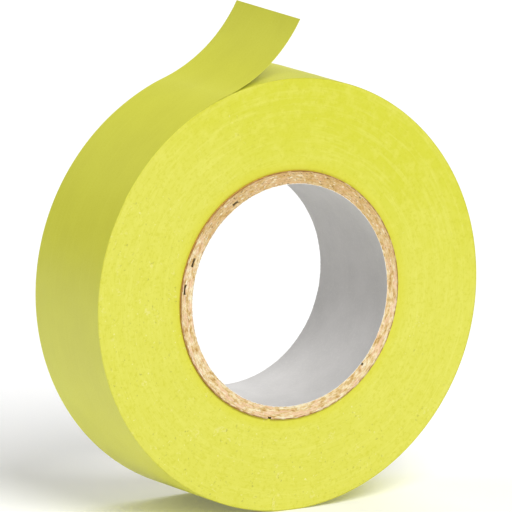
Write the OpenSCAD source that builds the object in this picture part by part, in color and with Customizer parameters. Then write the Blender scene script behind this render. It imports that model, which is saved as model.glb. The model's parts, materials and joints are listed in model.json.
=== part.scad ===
// Roll of flagging tape on a spiral-wound chipboard core, standing on its rim.
// The outer end of the tape has come off the top of the roll and curls up.
//
// Millimetres. The origin is the centre of the core's bore, halfway along it.
// The bore runs along Y, the front face looks towards -Y, and +Z is up.
// Angles around the roll are measured from +X towards +Z, as seen from the front.

/* [Tape] */
// Width of the tape, and so of the wound roll
tape_w = 30; // [19:0.5:50]
// Outer diameter of the roll
roll_d = 103.5; // [80:0.5:140]
// Thickness of the film
film_t = 0.06; // [0.04:0.01:0.12]

/* [Core] */
// Inner diameter of the core, across the bare bore
bore_d = 53.2; // [40:0.1:60]
// Thickness of the paper liner
liner_t = 0.1; // [0.08:0.01:0.4]
// Thickness of one chipboard ply
ply_t = 0.58; // [0.4:0.02:0.9]
// How far the core stands out of the tape at each end
core_proud = 0.5; // [0:0.1:1.5]
// Width of the widest butt seam that a ply leaves
seam_gap = 2; // [1:0.1:3]
// Slant of the seams away from the bore's direction
seam_slant = 35; // [20:1:45]

/* [Free end] */
// Where the tape leaves the roll
peel_angle = 109; // [95:1:150]
// Length of tape that is off the roll
tail_len = 26.7; // [15:0.1:40]
// Radius of the free end's upward curl
curl_r = 36.2; // [30:0.1:80]
// Height of the free end above the roll where it leaves it
tail_lift = 0.05; // [0.02:0.01:0.2]
// Gap between neighbouring stretches of the free end, at each bend line
bend_gap = 0.03; // [0.02:0.01:0.1]

/* [Hidden] */
$fn = 128;

glue_t = 0.02;                                   // glue line between two layers
seam_at = [317, 122.5, 158.7, 172, 259];         // where each ply's seam meets the front end
seam_share = [0.5, 0.7, 0.9, 1, 0.5];            // each ply's seam, as a share of the widest
plies = len(seam_at);
bore_r = bore_d / 2;
roll_r = roll_d / 2;
core_len = tape_w + 2 * core_proud;
ply_pitch = ply_t + glue_t;
core_r = bore_r + liner_t + plies * ply_pitch;
turn_r = roll_r - film_t;                        // inner radius of the last turn

stretches = 6;                                   // stretches of the free end between bend lines
tail_sweep = tail_len / curl_r * 180 / PI;       // turn of the whole free end
stretch_sweep = tail_sweep / stretches;
gap_sweep = bend_gap / curl_r * 180 / PI;
tail_base_r = roll_r + tail_lift + film_t / 2;   // roll's centre to the film's middle at the peel line
curl_centre_r = tail_base_r + curl_r;            // roll's centre to the curl's centre

// Places its child's XY plane on the front view, with the child's Z axis along the bore.
module along_bore() {
    rotate([90, 0, 0]) children();
}

module tube(inner_r, outer_r, length) {
    along_bore() difference() {
        cylinder(r = outer_r, h = length, center = true);
        cylinder(r = inner_r, h = length + 1, center = true);
    }
}

// Part of a strip of film bent to an arc, from one angle to another about the arc's centre.
module film_arc(middle_r, from_angle, to_angle) {
    along_bore() rotate([0, 0, from_angle])
        rotate_extrude(angle = to_angle - from_angle)
            translate([middle_r - film_t / 2, -tape_w / 2]) square([film_t, tape_w]);
}

// Paper that lines the bore.
module core_liner() {
    color("gainsboro") tube(bore_r, bore_r + liner_t, core_len);
}

// One ply of chipboard, wound at a slant, so that its edges leave a slanted seam.
module core_ply(number) {
    inner_r = bore_r + liner_t + glue_t + (number - 1) * ply_pitch;
    middle_r = inner_r + ply_t / 2;
    half_rise = min(core_len / 2 * tan(seam_slant), 0.9 * middle_r);
    half_lead = asin(half_rise / middle_r);
    // the slanted seam curves inwards away from its middle, and the cutter reaches 2 mm further than that
    reach = 2 * (middle_r - sqrt(middle_r * middle_r - half_rise * half_rise)) + 4;
    color("burlywood") difference() {
        tube(inner_r, inner_r + ply_t, core_len);
        rotate([0, -(seam_at[number - 1] + half_lead), 0])
            translate([middle_r, 0, 0])
                rotate([seam_slant, 0, 0])
                    cube([reach, 2 * core_len, seam_gap * seam_share[number - 1]], center = true);
    }
}

// All the tape below the last turn, wound tight.
module tape_windings() {
    color([0.89, 0.89, 0.35]) tube(core_r + glue_t, turn_r - glue_t, tape_w);
}

// The last turn that still lies on the roll.
module tape_outer_turn() {
    color([0.80, 0.79, 0.33]) tube(turn_r, roll_r, tape_w);
}

// One stretch of the free end, counted from the peel line to the cut end.
module tape_tail(number) {
    from_angle = peel_angle + 180 + (number - 1) * stretch_sweep + gap_sweep / 2;
    to_angle = peel_angle + 180 + number * stretch_sweep - gap_sweep / 2;
    color([0.83, 0.83, 0.31])
        translate([curl_centre_r * cos(peel_angle), 0, curl_centre_r * sin(peel_angle)])
            film_arc(curl_r, from_angle, to_angle);
}

core_liner();
core_ply(1);  // core_ply_1
core_ply(2);  // core_ply_2
core_ply(3);  // core_ply_3
core_ply(4);  // core_ply_4
core_ply(5);  // core_ply_5
tape_windings();
tape_outer_turn();
tape_tail(1);  // tape_tail_1
tape_tail(2);  // tape_tail_2
tape_tail(3);  // tape_tail_3
tape_tail(4);  // tape_tail_4
tape_tail(5);  // tape_tail_5
tape_tail(6);  // tape_tail_6
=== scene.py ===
# Looks of a roll of flagging tape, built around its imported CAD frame.
#
# Metres, in the CAD's own frame: the bore runs along Y, the front face looks towards -Y, and +Z is up.
# Angles round the roll run from +X towards +Z, as seen from the front. "Along" is a place on the ribbon:
# 0 at the line where it leaves the roll, positive on the free end, negative on the roll.
import json
import math

import bmesh
import bpy
import numpy as np
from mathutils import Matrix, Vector


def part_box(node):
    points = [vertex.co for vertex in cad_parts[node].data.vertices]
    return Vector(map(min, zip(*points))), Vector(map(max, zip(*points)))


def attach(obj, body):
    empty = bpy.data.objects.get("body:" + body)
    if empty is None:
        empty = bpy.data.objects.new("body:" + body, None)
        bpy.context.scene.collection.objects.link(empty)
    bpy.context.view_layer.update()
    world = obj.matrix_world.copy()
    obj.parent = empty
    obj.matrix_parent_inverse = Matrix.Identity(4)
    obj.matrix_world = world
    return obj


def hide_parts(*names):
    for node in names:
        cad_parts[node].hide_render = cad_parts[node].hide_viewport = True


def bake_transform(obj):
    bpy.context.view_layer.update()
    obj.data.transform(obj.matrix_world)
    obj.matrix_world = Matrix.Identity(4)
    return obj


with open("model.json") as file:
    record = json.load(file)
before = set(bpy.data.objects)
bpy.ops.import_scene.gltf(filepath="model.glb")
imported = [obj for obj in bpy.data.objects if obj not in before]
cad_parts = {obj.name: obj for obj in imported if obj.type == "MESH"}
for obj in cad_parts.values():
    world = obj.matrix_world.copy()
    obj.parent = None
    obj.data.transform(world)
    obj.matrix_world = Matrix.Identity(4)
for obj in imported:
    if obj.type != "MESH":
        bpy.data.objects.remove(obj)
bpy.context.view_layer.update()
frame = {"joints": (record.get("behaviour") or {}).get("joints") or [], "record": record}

MM = 0.001


# ---------------------------------------------------------------- sizes, from the frame

def outer_radius(node):
    """A ring reaches its own radius below the bore's centre."""
    return -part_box(node)[0].z


def length_along_bore(node):
    low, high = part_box(node)
    return high.y - low.y


PLIES = [f"core_ply_{k}" for k in range(1, 6)]
STRETCHES = [f"tape_tail_{k}" for k in range(1, 7)]

ROLL_R = outer_radius("tape_outer_turn")
CORE_R = outer_radius(PLIES[-1])
LINER_R = outer_radius("core_liner")
BORE_R = frame["record"]["mounts"][0]["dims"]["r_mm"] * MM
TAPE_W = length_along_bore("tape_windings")
CORE_LEN = length_along_bore("core_liner")

FILM_T = 0.055 * MM          # one layer of film, thinner than the pitch so that layers don't touch
TURN_PITCH = 0.06 * MM       # how much one turn adds to the radius
GLUE_T = 0.02 * MM           # between two layers of the core
SEAM_AT = [317, 122.5, 158.7, 172, 259]    # where each ply's seam meets the front end, degrees
SEAM_WIDTH = [0.5, 1.4, 1.8, 2.0, 0.7]     # mm
SEAM_SQUEEZE = [0.17, 0.17, 0.13, 0.22, 0.17]    # mm that the plies on each side bulge into each seam
SEAM_SLANT = math.radians(35)

# steps of each ring's mesh: through its wall, along the bore, and round it
WINDINGS_STEPS = (90, 6, 480)
PLY_STEPS = (6, 40, 1080)
LINER_STEPS = (2, 60, 800)
FRONT, OUTER, BACK, INNER = range(4)       # the four sides of a ring's section

FILM_COLUMNS = 61                # points across the film
LAST_TURN_STEP = 0.7 * MM        # between rows of points along the ribbon
FREE_END_STEP = 0.25 * MM


# ---------------------------------------------------------------- small tools

class Noise:
    """Smooth random values from -1 to 1 at points in space, from a seeded table that repeats."""

    cells = 48
    octaves = 3

    def __init__(self, seed):
        self.table = np.random.RandomState(seed).uniform(-1, 1, (self.cells,) * 3)

    def at(self, x, y, z):
        x, y, z = np.broadcast_arrays(x, y, z)
        points = np.stack([x, y, z], -1).astype(float)
        base = np.floor(points).astype(int)
        part = points - base
        part = part * part * (3 - 2 * part)
        total = np.zeros(points.shape[:-1])
        for corner in np.ndindex(2, 2, 2):
            weight = np.ones(points.shape[:-1])
            for axis, side in enumerate(corner):
                weight = weight * (part[..., axis] if side else 1 - part[..., axis])
            i, j, k = ((base[..., axis] + corner[axis]) % self.cells for axis in range(3))
            total += weight * self.table[i, j, k]
        return total

    def rough(self, x, y, z):
        """The same with finer detail added at each octave, which is shifted so that they don't line up."""
        shift = 7.3
        return sum(self.at(x * 2**o + shift * o, y * 2**o, z * 2**o) / 2**o for o in range(self.octaves))


def smooth_step(x):
    """0 up to 0 and 1 from 1, with a soft rise between them."""
    x = np.clip(x, 0, 1)
    return x * x * (3 - 2 * x)


SHARP_ANGLE = math.radians(50)      # edges bent by more than this stay crisp


def make_object(name, vertices, faces, materials, face_material=None):
    """A smooth-shaded closed mesh whose faces look outwards. face_material numbers each face's material."""
    mesh = bpy.data.meshes.new(name)
    mesh.from_pydata(vertices.tolist(), [], faces)
    for material in materials:
        mesh.materials.append(material)
    if face_material is not None:
        mesh.polygons.foreach_set("material_index", np.asarray(face_material, np.int32))
    work = bmesh.new()
    work.from_mesh(mesh)
    bmesh.ops.recalc_face_normals(work, faces=work.faces)
    work.to_mesh(mesh)
    work.free()
    mesh.shade_smooth()
    mesh.set_sharp_from_angle(angle=SHARP_ANGLE)
    made = bpy.data.objects.new(name, mesh)
    bpy.context.scene.collection.objects.link(made)
    return made


def grid_faces(rows, columns, close_rows):
    """Quads of a grid of vertices, row by row. Each row closes on itself, and so can the rows together."""
    last_row = rows if close_rows else rows - 1
    return [
        (r * columns + c,
         r * columns + (c + 1) % columns,
         (r + 1) % rows * columns + (c + 1) % columns,
         (r + 1) % rows * columns + c)
        for r in range(last_row)
        for c in range(columns)
    ]


def ring_section(inner_r, outer_r, length, radial, axial):
    """A ring's rectangular section as one closed loop: each point's radius, Y and side."""
    half = length / 2
    across = np.linspace(inner_r, outer_r, radial + 1)
    along = np.linspace(-half, half, axial + 1)
    radii = np.concatenate([across[:-1], np.full(axial, outer_r), across[:0:-1], np.full(axial, inner_r)])
    ys = np.concatenate([np.full(radial, -half), along[:-1], np.full(radial, half), along[:0:-1]])
    sides = np.repeat([FRONT, OUTER, BACK, INNER], [radial, axial, radial, axial])
    return radii, ys, sides


def way_out(ys):
    """Which way along the bore is outwards: -1 in the front half, and 1 in the back half."""
    return np.where(ys < 0, -1, 1)


def at_either_end(ys, length):
    """Whether each place along the bore is at one of a ring's two ends."""
    rounding = 1e-9
    return np.abs(ys) > length / 2 - rounding


def around(angle, radius, y):
    """Points at an angle round the bore, a radius from its centre line, and a Y along it."""
    return np.stack(np.broadcast_arrays(radius * np.cos(angle), y, radius * np.sin(angle)), -1)


# ---------------------------------------------------------------- materials

class Shader:
    """Builds one node material round a Principled shader. Each material below calls its own s."""

    def __init__(self, name):
        self.material = bpy.data.materials.new(name)
        self.material.use_nodes = True
        self.nodes = self.material.node_tree.nodes
        self.links = self.material.node_tree.links
        self.principled = self.nodes["Principled BSDF"]

    def plug(self, socket, value):
        """Links one socket to another, or sets a plain value. None leaves the socket as it is."""
        if isinstance(value, bpy.types.NodeSocket):
            self.links.new(value, socket)
        elif value is not None:
            socket.default_value = value

    def node(self, kind, *inputs, **settings):
        """A new node, with its inputs in their order and its settings by name."""
        made = self.nodes.new("ShaderNode" + kind)
        for key, value in settings.items():
            setattr(made, key, value)
        for socket, value in zip(made.inputs, inputs):
            self.plug(socket, value)
        return made

    def math(self, operation, a, b=None, c=None):
        return self.node("Math", a, b, c, operation=operation).outputs[0]

    def vector(self, x, y, z):
        return self.node("CombineXYZ", x, y, z).outputs[0]

    def position(self):
        """X, Y and Z in the CAD's frame, because every piece's origin is the frame's."""
        place = self.node("TexCoord").outputs["Object"]
        return self.node("SeparateXYZ", place).outputs

    def radius(self, x, z):
        """Distance from the bore's centre line."""
        return self.math("SQRT", self.math("ADD", self.math("MULTIPLY", x, x), self.math("MULTIPLY", z, z)))

    def wound(self, x, z, radius, per_turn, per_metre, shift=0.0):
        """A place for noise that is drawn out round the bore, into rings or fibres."""
        around_x = self.math("MULTIPLY", self.math("DIVIDE", x, radius), per_turn)
        around_z = self.math("MULTIPLY", self.math("DIVIDE", z, radius), per_turn)
        return self.vector(around_x, around_z, self.math("MULTIPLY_ADD", radius, per_metre, shift))

    def noise(self, place, scale, detail, roughness=0.55):
        made = self.node("TexNoise")
        self.plug(made.inputs["Vector"], place)
        made.inputs["Scale"].default_value = scale
        made.inputs["Detail"].default_value = detail
        made.inputs["Roughness"].default_value = roughness
        return made.outputs["Fac"]

    def span(self, value, low, high, out_low, out_high):
        """Carries low to high over to out_low to out_high, with soft ends."""
        made = self.node("MapRange", interpolation_type="SMOOTHSTEP")
        for socket, number in zip(made.inputs, (value, low, high, out_low, out_high)):
            self.plug(socket, number)
        return made.outputs[0]

    def mix(self, share, first, second):
        """The first colour with a share of the second over it."""
        made = self.node("Mix", data_type="RGBA")
        self.plug(made.inputs["Factor"], share)
        # the node has sockets for each kind of value, all with the same names: these are the colours'
        for socket, value in zip(made.inputs[6:8], (first, second)):
            self.plug(socket, opaque(value))
        return made.outputs[2]

    def ramp(self, value, stops):
        """A colour for each value, from pairs of place and colour."""
        made = self.node("ValToRGB", value)
        elements = made.color_ramp.elements
        while len(elements) < len(stops):
            elements.new(0.5)
        for element, (place, colour) in zip(elements, stops):
            element.position = place
            element.color = opaque(colour)
        return made.outputs[0]

    def bump(self, height, depth, under=None):
        """A bump whose height of 1 stands depth metres proud."""
        made = self.node("Bump")
        made.inputs["Strength"].default_value = 1
        made.inputs["Distance"].default_value = depth
        self.plug(made.inputs["Height"], height)
        self.plug(made.inputs["Normal"], under)
        return made.outputs[0]

    def finish(self, colour, roughness, normal, **sockets):
        """Plugs in the main values, and sets the others on the shader's own sockets."""
        self.plug(self.principled.inputs["Base Color"], opaque(colour))
        self.plug(self.principled.inputs["Roughness"], roughness)
        self.plug(self.principled.inputs["Normal"], normal)
        for name, value in sockets.items():
            self.principled.inputs[name.replace("_", " ")].default_value = value
        return self.material


def opaque(colour):
    """A colour with its alpha. A socket stays as it is."""
    return (*colour, 1) if isinstance(colour, tuple) and len(colour) == 3 else colour


def film_material():
    """Satin film: faint lines along the ribbon, fine grain and broad, soft changes of tone."""
    yellow = (0.700, 0.697, 0.054)
    light_yellow = (0.729, 0.731, 0.058)
    line_colour = (0.781, 0.784, 0.091)
    grain_colour = (0.617, 0.615, 0.042)
    s = Shader("tape_film")
    ribbon = s.node("Attribute", attribute_name="ribbon").outputs["Vector"]
    along, across, _ = s.node("SeparateXYZ", ribbon).outputs
    # noise that changes far more slowly along the ribbon than across it makes lines
    lines = s.noise(s.vector(s.math("MULTIPLY", along, 0.03), across, 0.0), 1100, 3)
    broad = s.noise(ribbon, 70, 3)
    grain = s.noise(ribbon, 2400, 3)
    colour = s.mix(s.span(broad, 0.3, 0.7, 0, 1), yellow, light_yellow)
    colour = s.mix(s.span(lines, 0.45, 0.75, 0, 0.2), colour, line_colour)
    colour = s.mix(s.span(grain, 0.45, 0.8, 0, 0.25), colour, grain_colour)
    roughness = s.span(grain, 0.3, 0.7, 0.36, 0.48)
    normal = s.bump(lines, 0.008 * MM)
    normal = s.bump(grain, 0.005 * MM, normal)
    return s.finish(colour, roughness, normal, Specular_IOR_Level=0.5)


def edge_material():
    """The ribbon's edges, wound side by side: cloudy, with fine rings, pale flakes and dark specks, and
    painted shade round the core.
    """
    yellow = (0.666, 0.656, 0.088)
    greener = (0.621, 0.620, 0.044)
    blotch_colour = (0.722, 0.704, 0.122)
    pale_ring = (0.722, 0.712, 0.137)
    deep_ring = (0.596, 0.586, 0.035)
    mottle_colour = (0.577, 0.568, 0.039)
    # painted shade: the colour of the tape face where the proud core shades it
    painted_shade_by_core = (0.649, 0.631, 0.035)
    flake_colour = (0.857, 0.838, 0.490)
    stroke_colour = (0.780, 0.745, 0.290)
    pit_colour = (0.379, 0.361, 0.059)
    s = Shader("tape_edges")
    x, y, z = s.position()
    radius = s.radius(x, z)
    fine = s.noise(s.wound(x, z, radius, 14, 3600), 1, 3)
    wide = s.noise(s.wound(x, z, radius, 2.5, 950), 1, 2)
    place = s.vector(x, y, z)
    cloud = s.noise(place, 60, 3)
    blotch = s.noise(place, 420, 4)
    mottle = s.noise(place, 1500, 3)
    # from here the axes trade places, so that no two patterns repeat each other
    flakes = s.noise(s.vector(x, z, y), 950, 4, 0.65)
    pits = s.noise(s.vector(z, x, y), 1150, 2)
    # wear gathers in patches, more of them towards the lower left
    patches = s.noise(s.vector(z, y, x), 55, 2)
    wear = s.math("MULTIPLY_ADD", x, -3.5, s.math("MULTIPLY_ADD", z, -4, patches))
    dusty = s.span(wear, 0.42, 0.66, 0.15, 1)
    # the colour is deeper and greener towards the upper right
    towards_top = s.math("MULTIPLY_ADD", x, 0.42, s.math("MULTIPLY", z, 0.91))
    deeper = s.math("MULTIPLY_ADD", cloud, 0.03, towards_top)
    colour = s.mix(s.span(deeper, 0.030, 0.058, 0, 1), yellow, greener)
    colour = s.mix(s.span(blotch, 0.42, 0.70, 0, 0.38), colour, blotch_colour)
    colour = s.mix(s.span(wide, 0.45, 0.72, 0, 0.42), colour, pale_ring)
    colour = s.mix(s.span(fine, 0.50, 0.75, 0, 0.50), colour, deep_ring)
    colour = s.mix(s.span(mottle, 0.50, 0.72, 0, 0.50), colour, mottle_colour)
    # painted shade: the face darkens towards the core, all the way round, standing in for the proud core's
    # shadow
    colour = s.mix(s.span(radius, CORE_R, CORE_R + 3.5 * MM, 0.6, 0), colour, painted_shade_by_core)
    colour = s.mix(s.math("MULTIPLY", s.span(flakes, 0.65, 0.73, 0, 0.65), dusty), colour, flake_colour)
    # loose film edges that stand up: short curved strokes, in patches
    curve = s.math("ABSOLUTE", s.math("SUBTRACT", s.noise(s.vector(y, z, x), 520, 2), 0.5))
    loose = s.span(s.noise(s.vector(y, x, z), 380, 2), 0.61, 0.70, 0, 0.42)
    strokes = s.math("MULTIPLY", s.span(curve, 0.05, 0.02, 0, 1), s.math("MULTIPLY", loose, dusty))
    colour = s.mix(strokes, colour, stroke_colour)
    colour = s.mix(s.math("MULTIPLY", s.span(pits, 0.65, 0.75, 0, 0.6), dusty), colour, pit_colour)
    normal = s.bump(wide, 0.02 * MM)
    normal = s.bump(fine, 0.015 * MM, normal)
    normal = s.bump(mottle, 0.02 * MM, normal)
    return s.finish(colour, s.span(mottle, 0.3, 0.7, 0.6, 0.8), normal, Specular_IOR_Level=0.25)


def chipboard_material():
    """The core's sawn end: short matted fibres, tan, cream and pink, with dark pits."""
    brown = (0.461, 0.260, 0.079)
    tan = (0.649, 0.446, 0.181)
    sand = (0.780, 0.612, 0.350)
    cream = (0.860, 0.765, 0.520)
    pink_colour = (0.804, 0.539, 0.349)
    stain_colour = (0.536, 0.335, 0.105)
    pale_colour = (0.866, 0.810, 0.589)
    hair_colour = (0.361, 0.211, 0.075)
    pit_colour = (0.145, 0.092, 0.038)
    # darker kraft together with painted shade, for the dark line at the core's outer rim
    kraft_rim_and_shade_colour = (0.270, 0.130, 0.038)
    s = Shader("chipboard_cut")
    x, y, z = s.position()
    radius = s.radius(x, z)

    def fibres(fibre_length, fibre_width, detail, shift=0.0):
        place = s.wound(x, z, radius, CORE_R / fibre_length, 1 / fibre_width, shift)
        return s.noise(place, 1, detail, 0.6)

    chips = fibres(1.7 * MM, 0.7 * MM, 3)
    hairs = fibres(0.7 * MM, 0.22 * MM, 3)
    pink = fibres(3.5 * MM, 0.9 * MM, 2, 31.0)
    pale = fibres(1.6 * MM, 0.5 * MM, 2, 57.0)
    pits = fibres(1.0 * MM, 0.35 * MM, 2, 83.0)
    # the board is browner towards the top of the core, and has more hairs and pits there
    patches = s.math("MULTIPLY_ADD", s.noise(s.vector(x, y, z), 45, 2), 0.6, 0.2)
    stain = s.math("MULTIPLY_ADD", z, 12, patches)
    hairs = s.math("MULTIPLY_ADD", z, -2.2, hairs)
    pits = s.math("MULTIPLY_ADD", z, -2.4, pits)
    colour = s.ramp(chips, [(0.32, brown), (0.43, tan), (0.54, sand), (0.67, cream)])
    colour = s.mix(s.span(pink, 0.50, 0.62, 0, 0.75), colour, pink_colour)
    colour = s.mix(s.span(stain, 0.55, 0.78, 0, 0.58), colour, stain_colour)
    colour = s.mix(s.span(pale, 0.58, 0.70, 0, 0.8), colour, pale_colour)
    colour = s.mix(s.span(hairs, 0.40, 0.28, 0, 0.5), colour, hair_colour)
    colour = s.mix(s.span(pits, 0.34, 0.24, 0, 0.8), colour, pit_colour)
    # the cut edge of the outermost ply: darker kraft, and painted shade for the dark gap line along the
    # core's rim
    at_rim = s.span(radius, CORE_R - 0.36 * MM, CORE_R - 0.14 * MM, 0, 1)
    kraft_rim_and_painted_shade = s.math("MULTIPLY", at_rim, s.span(pale, 0.62, 0.42, 0.40, 0.92))
    colour = s.mix(kraft_rim_and_painted_shade, colour, kraft_rim_and_shade_colour)
    normal = s.bump(chips, 0.12 * MM)
    normal = s.bump(hairs, 0.05 * MM, normal)
    return s.finish(colour, 0.92, normal, Specular_IOR_Level=0.2)


def kraft_material():
    """The plies' own flat faces: dark board inside the wall, and orange-brown on the outermost one."""
    dark_board, light_board = (0.250, 0.180, 0.090), (0.400, 0.290, 0.140)
    dark_kraft, light_kraft = (0.480, 0.230, 0.055), (0.700, 0.390, 0.110)
    s = Shader("chipboard_face")
    x, y, z = s.position()
    radius = s.radius(x, z)
    fibres = s.noise(s.vector(x, s.math("MULTIPLY", y, 0.4), z), 1400, 4)
    inside = s.ramp(fibres, [(0.3, dark_board), (0.7, light_board)])
    outside = s.ramp(fibres, [(0.3, dark_kraft), (0.7, light_kraft)])
    colour = s.mix(s.span(radius, CORE_R - 0.2 * MM, CORE_R - 0.1 * MM, 0, 1), inside, outside)
    return s.finish(colour, 0.95, s.bump(fibres, 0.03 * MM), Specular_IOR_Level=0.15)


def liner_material():
    """The paper in the bore: grey-white, a little cloudy, with fine fibres."""
    grey = (0.585, 0.574, 0.563)
    light_grey = (0.630, 0.617, 0.606)
    fibre_colour = (0.700, 0.686, 0.669)
    s = Shader("liner_paper")
    place = s.vector(*s.position())
    cloud = s.noise(place, 120, 3)
    fibres = s.noise(place, 1700, 4)
    colour = s.mix(s.span(cloud, 0.3, 0.7, 0, 1), grey, light_grey)
    colour = s.mix(s.span(fibres, 0.45, 0.75, 0, 0.4), colour, fibre_colour)
    return s.finish(colour, 0.85, s.bump(fibres, 0.02 * MM), Specular_IOR_Level=0.25)


def liner_cut_material():
    """The liner's torn edge: whiter than its face, with brown fibres in places."""
    kraft = (0.909, 0.710, 0.405)
    white = (0.970, 0.970, 0.922)
    s = Shader("liner_edge")
    fibres = s.noise(s.vector(*s.position()), 1500, 3)
    colour = s.mix(s.span(fibres, 0.40, 0.62, 0, 1), kraft, white)
    return s.finish(colour, 0.95, s.bump(fibres, 0.04 * MM), Specular_IOR_Level=0.2)


FILM = film_material()
EDGES = edge_material()
CHIPBOARD = chipboard_material()
KRAFT = kraft_material()
LINER = liner_material()
LINER_CUT = liner_cut_material()


# ---------------------------------------------------------------- the ribbon's path

HINGES = [Vector(j["pos_m"]) for j in frame["joints"]]
PEEL = math.atan2(HINGES[0].z, HINGES[0].x)
PEEL_R = math.hypot(HINGES[0].x, HINGES[0].z)
BENDS = len(HINGES) - 1
FIRST_CHORD = (HINGES[1] - HINGES[0]).length
LAST_CHORD = (HINGES[-1] - HINGES[0]).length


def curl_radius():
    """The radius of the free end's one arc, from the straight distances over one stretch and over five."""
    low, high = LAST_CHORD / 2, 1.0
    halvings = 60
    for _ in range(halvings):
        middle = (low + high) / 2
        one_stretch = 2 * math.asin(FIRST_CHORD / 2 / middle)
        if 2 * middle * math.sin(BENDS * one_stretch / 2) < LAST_CHORD:
            low = middle
        else:
            high = middle
    return middle


CURL_R = curl_radius()
STRETCH = CURL_R * 2 * math.asin(FIRST_CHORD / 2 / CURL_R)
TAIL_LEN = STRETCH * len(STRETCHES)
RISE_ANGLE = math.radians(14)       # over this much of the roll the last turn comes up to the peel line
UNDERLAP = math.radians(40)         # how far the last turn runs on below its own end
ROOT_START = -2 * MM                # the free end's first piece begins this far before the peel line


def ribbon_point(along):
    """Middle of the film and its outward direction, in X and Z, at places along the ribbon."""
    along = np.asarray(along, float)
    back = np.maximum(-along, 0) / ROLL_R
    rise = PEEL_R - (ROLL_R - TURN_PITCH / 2)
    radius = ROLL_R - TURN_PITCH / 2 - TURN_PITCH * back / (2 * math.pi)
    radius = radius + rise * smooth_step(1 - back / RISE_ANGLE)
    on_roll = PEEL + back
    ahead = np.maximum(along, 0) / CURL_R
    on_curl = PEEL + math.pi + ahead
    centre_r = PEEL_R + CURL_R
    free = along > 0
    x = np.where(free, centre_r * math.cos(PEEL) + CURL_R * np.cos(on_curl), radius * np.cos(on_roll))
    z = np.where(free, centre_r * math.sin(PEEL) + CURL_R * np.sin(on_curl), radius * np.sin(on_roll))
    out_x = np.where(free, -np.cos(on_curl), np.cos(on_roll))
    out_z = np.where(free, -np.sin(on_curl), np.sin(on_roll))
    return x, z, out_x, out_z


FILM_NOISE = Noise(11)


def gauge_bands(angle, y):
    """Height of the roll's surface: film isn't even across its width, and its ridges run round the roll."""
    turn_x, turn_z = np.cos(angle), np.sin(angle)
    ridges = FILM_NOISE.at(turn_x * 1.2, turn_z * 1.2, y * 420)
    swells = FILM_NOISE.at(turn_x * 2.6 + 9, turn_z * 2.6, y * 90)
    return (0.010 * ridges + 0.035 * swells) * MM


def cut_end(y):
    """The tape was cut by hand, so its end isn't quite square: its place along the ribbon at each Y."""
    set_back, slope = 0.02 * MM, 0.014
    return TAIL_LEN - set_back + slope * y


def ribbon_grid(along, across):
    """Points of the film's middle surface, with the waves and wander of real film."""
    x, z, out_x, out_z = ribbon_point(along)
    on_roll = np.where(along <= 0, 1.0, np.maximum(1 - along / STRETCH, 0))
    wave = gauge_bands(PEEL - along / ROLL_R, across) * on_roll
    wave = wave + FILM_NOISE.at(along * 130, across * 75, 0.5) * 0.04 * MM * (1 - on_roll)
    wander = FILM_NOISE.at(along * 35, 3.5, 8.5) * 0.05 * MM
    points = np.stack(np.broadcast_arrays(x + out_x * wave, across + wander, z + out_z * wave), -1)
    outward = np.stack(np.broadcast_arrays(out_x, 0 * across, out_z), -1)
    return points, outward


def film_strip(name, start, end, step):
    """A stretch of film from one place along the ribbon to another, with its thickness."""
    across = np.linspace(-TAPE_W / 2, TAPE_W / 2, FILM_COLUMNS)
    share = np.linspace(0, 1, max(2, int(round((end - start) / step)) + 1))[:, None]
    last = cut_end(across) if end == TAIL_LEN else end
    stations = start + (last - start) * share + 0 * across
    middle, outward = ribbon_grid(stations, across)
    rows, columns = len(stations), 2 * FILM_COLUMNS
    # one loop round the film's section: the outer face, then the inner face on the way back
    loop = np.concatenate([middle + outward * FILM_T / 2, (middle - outward * FILM_T / 2)[:, ::-1]], 1)
    faces = grid_faces(rows, columns, close_rows=False)
    # the two cut ends
    for row in (0, rows - 1):
        first = row * columns
        faces += [(first + i, first + i + 1, first + columns - 2 - i, first + columns - 1 - i)
                  for i in range(FILM_COLUMNS - 1)]
    made = make_object(name, loop.reshape(-1, 3), faces, [FILM])
    # the film's material reads where on the ribbon each point lies
    place = np.zeros((rows, columns, 3))
    place[..., 0] = np.concatenate([stations, stations[:, ::-1]], 1)
    place[..., 1] = np.concatenate([across, across[::-1]])
    attribute = made.data.attributes.new("ribbon", "FLOAT_VECTOR", "POINT")
    attribute.data.foreach_set("vector", place.reshape(-1).astype(np.float32))
    return made


# ---------------------------------------------------------------- the tape

def last_turn():
    """The outermost turn, from under its own end round to just before the peel line."""
    start = -(2 * math.pi + UNDERLAP) * ROLL_R
    made = film_strip("last_turn", start, ROOT_START, LAST_TURN_STEP)
    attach(made, "roll")
    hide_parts("tape_outer_turn")


def free_end():
    """The free end: one piece of film at each bend line, from mid-stretch to mid-stretch."""
    cuts = [ROOT_START] + [(k + 0.5) * STRETCH for k in range(BENDS)] + [TAIL_LEN]
    for k, stretch in enumerate(STRETCHES):
        made = film_strip(f"free_end_{k + 1}", cuts[k], cuts[k + 1], FREE_END_STEP)
        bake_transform(made)
        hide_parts(stretch)


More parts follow.
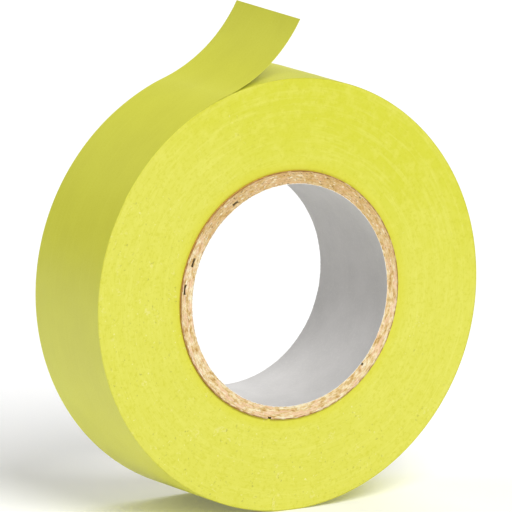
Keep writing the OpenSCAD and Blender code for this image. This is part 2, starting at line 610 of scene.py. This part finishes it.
def windings():
    """All the turns below the last one. Their edges don't lie quite level."""
    ripple = Noise(23)
    radial, axial, steps = WINDINGS_STEPS
    # the last turn lies two layers deep over the windings where it overlaps itself
    outside = ROLL_R - 2.2 * TURN_PITCH
    radii, ys, sides = ring_section(CORE_R + GLUE_T, outside, TAPE_W, radial, axial)
    angle = np.linspace(0, 2 * math.pi, steps, endpoint=False)[:, None]
    turn_x, turn_z = np.cos(angle), np.sin(angle)
    r = radii[None]
    side = way_out(ys)[None]
    level = 0.030 * ripple.at(turn_x * 2.5 + side * 9, turn_z * 2.5, r * 150)
    level = level + 0.010 * ripple.at(turn_x * 6 + side * 5, turn_z * 6, r * 900)
    level = level + 0.005 * ripple.at(turn_x * 9 + side * 3, turn_z * 9, r * 2600)
    # the first turns sit back beside the core, and the last ones at the rim
    level = level - 0.10 * smooth_step(1 - (r - CORE_R) / (0.5 * MM))
    level = level - 0.06 * smooth_step(1 - (ROLL_R - r) / (0.5 * MM))
    on_face = np.isin(sides, (FRONT, BACK)) | at_either_end(ys, TAPE_W)
    y = ys[None] + side * level * MM * on_face[None]
    r = r + gauge_bands(angle, ys[None]) * smooth_step((r - CORE_R) / (ROLL_R - CORE_R))
    points = around(angle, r, y)
    faces = grid_faces(len(angle), len(radii), close_rows=True)
    made = make_object("windings", points.reshape(-1, 3), faces, [EDGES])
    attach(made, "roll")
    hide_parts("tape_windings")


# ---------------------------------------------------------------- the core

CUT_NOISE = Noise(37)


def seam_angle(k, y, middle_r):
    """Where ply k's seam is round the core, at a place along the bore."""
    return math.radians(SEAM_AT[k]) + (y + CORE_LEN / 2) * math.tan(SEAM_SLANT) / middle_r


def seam_arc(k):
    """The seam's width measured round the core."""
    return SEAM_WIDTH[k] * MM / math.cos(SEAM_SLANT)


def seam_bulge(k, angle, y, middle_r):
    """How much ply k's neighbours bulge into its seam: 1 at its middle, and 0 from just past its edges."""
    away = np.abs((angle - seam_angle(k, y, middle_r) + math.pi) % (2 * math.pi) - math.pi) * middle_r
    return smooth_step(1.1 - away / seam_arc(k) * 1.9)


def cap_faces(first, radial, axial):
    """Faces that close a ring_section loop at one end: strips from the front to the back."""
    count = 2 * (radial + axial)
    outer = [first + radial + i for i in range(axial + 1)]
    inner = [first + (count - i) % count for i in range(axial + 1)]
    faces = [[outer[i], outer[i + 1], inner[i + 1], inner[i]] for i in range(axial)]
    # the strips at the two ends also take in the corners between inside and outside
    faces[0] = [outer[0], outer[1], inner[1], inner[0]] + [first + i for i in range(1, radial)]
    faces[-1] = [outer[-2]] + [outer[-1] + i for i in range(radial + 1)] + [inner[-2]]
    return faces


def ply(k, inner_r, outer_r):
    """One ply, with a slanted butt seam and rough sawn ends."""
    radial, axial, steps = PLY_STEPS
    radii, ys, sides = ring_section(inner_r, outer_r, CORE_LEN, radial, axial)
    middle_r = (inner_r + outer_r) / 2
    gap = seam_arc(k) / middle_r
    turn = np.linspace(0, 1, steps)[:, None]
    angle = seam_angle(k, ys, middle_r)[None] + gap / 2 + turn * (2 * math.pi - gap)
    r = np.broadcast_to(radii[None], angle.shape).copy()
    if k > 0:
        bulge = SEAM_SQUEEZE[k - 1] * MM * seam_bulge(k - 1, angle, ys, middle_r)
        r -= np.where(sides == INNER, bulge, 0)
    if k < len(PLIES) - 1:
        bulge = SEAM_SQUEEZE[k + 1] * MM * seam_bulge(k + 1, angle, ys, middle_r)
        r += np.where(sides == OUTER, bulge, 0)
    side = way_out(ys)
    # sawing leaves the board matted: lumps a millimetre long, and finer streaks
    lumps = CUT_NOISE.rough(r * np.cos(angle) * 700, r * np.sin(angle) * 700, side * 4.4 + k * 0.3)
    streaks = CUT_NOISE.at(np.cos(angle) * 60, np.sin(angle) * 60, r * 3600 + side * 3)
    cut = (0.06 * lumps + 0.04 * streaks - 0.06) * MM
    y = ys[None] + side * cut * at_either_end(ys, CORE_LEN)
    points = around(angle, r, y)
    rows, columns = angle.shape
    faces = grid_faces(rows, columns, close_rows=False)
    face_sides = np.tile(sides, rows - 1)
    caps = cap_faces(0, radial, axial) + cap_faces((rows - 1) * columns, radial, axial)
    is_wall = np.concatenate([np.isin(face_sides, (OUTER, INNER)), np.ones(len(caps), bool)])
    made = make_object(f"ply_{k + 1}", points.reshape(-1, 3), faces + caps, [CHIPBOARD, KRAFT], is_wall)
    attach(made, "roll")
    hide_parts(PLIES[k])


def plies():
    """The core's plies, one over another from the liner outwards."""
    inner_r = LINER_R + GLUE_T
    for k, node in enumerate(PLIES):
        ply(k, inner_r, outer_radius(node))
        inner_r = outer_radius(node) + GLUE_T


def liner():
    """The bore's paper lining: a faint slanted lap, and a torn edge at each end."""
    paper = Noise(51)
    radial, axial, steps = LINER_STEPS
    radii, ys, sides = ring_section(BORE_R, LINER_R, CORE_LEN, radial, axial)
    angle = np.linspace(0, 2 * math.pi, steps, endpoint=False)[:, None]
    turn_x, turn_z = np.cos(angle), np.sin(angle)
    soft = paper.rough(turn_x * 6, turn_z * 6, ys * 160) * 0.02 * MM
    lap_at_front = math.radians(40)
    lap_at = lap_at_front + (ys + CORE_LEN / 2) * math.tan(SEAM_SLANT) / BORE_R
    past_lap = (angle - lap_at) % (2 * math.pi) * BORE_R
    # a short step up at the lap's edge, and then a long way down
    lap = 0.06 * MM * smooth_step(1 - past_lap / (9 * MM)) * smooth_step(past_lap / (0.25 * MM))
    r = radii[None] + np.where(sides == INNER, soft - lap, 0)
    side = way_out(ys)
    fray = paper.rough(turn_x * 45, turn_z * 45, side * 6.5)
    tufts = np.maximum(paper.at(turn_x * 170, turn_z * 170, side * 2.5), 0)
    y = ys[None] + side * at_either_end(ys, CORE_LEN) * (0.06 * fray + 0.16 * tufts) * MM
    points = around(angle, r, y)
    faces = grid_faces(len(angle), len(radii), close_rows=True)
    is_end = np.tile(np.isin(sides, (FRONT, BACK)), len(angle))
    made = make_object("liner", points.reshape(-1, 3), faces, [LINER, LINER_CUT], is_end)
    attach(made, "roll")
    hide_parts("core_liner")


# ---------------------------------------------------------------- floor, light and camera

def floor():
    """A plain pale floor that the roll stands on."""
    s = Shader("floor")
    cloud = s.noise(s.vector(*s.position()), 3, 2)
    colour = s.mix(cloud, (0.93, 0.93, 0.93), (0.95, 0.95, 0.95))
    s.finish(colour, 0.9, None, Specular_IOR_Level=0.1, Emission_Color=(1, 1, 1, 1), Emission_Strength=0.10)
    far = 12.0          # metres to each of its edges, out of every view
    corners = [(x, y, -ROLL_R) for x, y in ((-far, -far), (far, -far), (far, far), (-far, far))]
    mesh = bpy.data.meshes.new("floor")
    mesh.from_pydata(corners, [], [(0, 1, 2, 3)])
    mesh.materials.append(s.material)
    made = bpy.data.objects.new("floor", mesh)
    bpy.context.scene.collection.objects.link(made)


def sun(name, towards, strength, spread):
    """A soft white light from far away, in the direction towards. spread is its width in degrees."""
    light = bpy.data.lights.new(name, "SUN")
    light.energy = strength
    light.angle = math.radians(spread)
    made = bpy.data.objects.new(name, light)
    made.rotation_euler = Vector(towards).to_track_quat("Z", "Y").to_euler()
    made.location = Vector(towards).normalized() * 2
    bpy.context.scene.collection.objects.link(made)


def lights():
    """A dim even surround, one broad light from the front and two weaker ones from behind."""
    world = bpy.data.worlds.new("studio")
    world.use_nodes = True
    background = world.node_tree.nodes["Background"]
    background.inputs["Color"].default_value = (1, 1, 1, 1)
    background.inputs["Strength"].default_value = 0.15
    bpy.context.scene.world = world
    sun("key", towards=(0.0, -1.0, 1.0), strength=2.6, spread=35)
    sun("rear_left", towards=(-0.7, 0.7, 1.0), strength=0.5, spread=40)
    sun("rear_right", towards=(0.7, 0.7, 1.0), strength=0.9, spread=40)
    # colours come out as they are lit, with no film curve over them
    bpy.context.scene.view_settings.view_transform = "Standard"


VIEW_AZIMUTH = math.radians(-30.253)
VIEW_ELEVATION = math.radians(10.375)
# in radii of the roll: how far away the camera is, and how far right of and above the bore it aims
VIEW_DISTANCE = 50
AIM_RIGHT = -0.0050
AIM_UP = 0.1326
SENSOR_WIDTH = 36           # mm
FOCAL_LENGTH = 767.99       # mm


def camera():
    """A long lens, with no tilt to either side, from the front left and a little above."""
    level = math.cos(VIEW_ELEVATION)
    back = Vector((
        math.sin(VIEW_AZIMUTH) * level,
        -math.cos(VIEW_AZIMUTH) * level,
        math.sin(VIEW_ELEVATION),
    ))
    right = (-back).cross(Vector((0, 0, 1))).normalized()
    up = right.cross(-back)
    target = (right * AIM_RIGHT + up * AIM_UP) * ROLL_R
    data = bpy.data.cameras.new("camera")
    data.sensor_width = SENSOR_WIDTH
    data.lens = FOCAL_LENGTH
    data.clip_end = 100
    made = bpy.data.objects.new("camera", data)
    made.location = target + back * VIEW_DISTANCE * ROLL_R
    made.rotation_euler = back.to_track_quat("Z", "Y").to_euler()
    bpy.context.scene.collection.objects.link(made)
    bpy.context.scene.camera = made


camera()
lights()
floor()
last_turn()
free_end()
windings()
plies()
liner()
